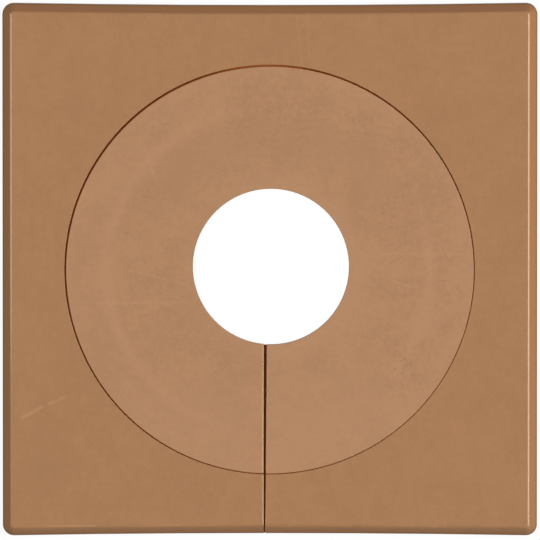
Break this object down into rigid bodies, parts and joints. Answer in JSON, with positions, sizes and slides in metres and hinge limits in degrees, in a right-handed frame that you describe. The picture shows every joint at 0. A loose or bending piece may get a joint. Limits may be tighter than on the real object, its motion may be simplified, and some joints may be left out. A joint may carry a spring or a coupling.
{
  "type": "pipe rosette",
  "caption": "Square bevelled cover frame with a round disc that turns in it, slit to spring over a pipe and hide the wall opening round it.",
  "frame": {"origin": "on the disc's axis, in the plane of the frame's rear rim, which lies on the wall", "axes": "+Z along the pipe, out of the wall; +Y towards the side opposite the slit; +X to the right as seen from the front"},
  "size_m": [0.144, 0.1436, 0.007],
  "materials": {
    "frame_plastic": "satin light brown moulded plastic",
    "disc_plastic": "matte, slightly mottled light brown moulded plastic"
  },
  "bodies": {
    "frame": {"square_frame": "frame_plastic"},
    "disc": {"round_disc": "disc_plastic"}
  },
  "joints": [
    {"name": "disc_turn", "type": "hinge", "parent": "frame", "child": "disc", "pos_m": [0, 0, 0.005], "axis": [0, 0, 1], "continuous": true}
  ]
}
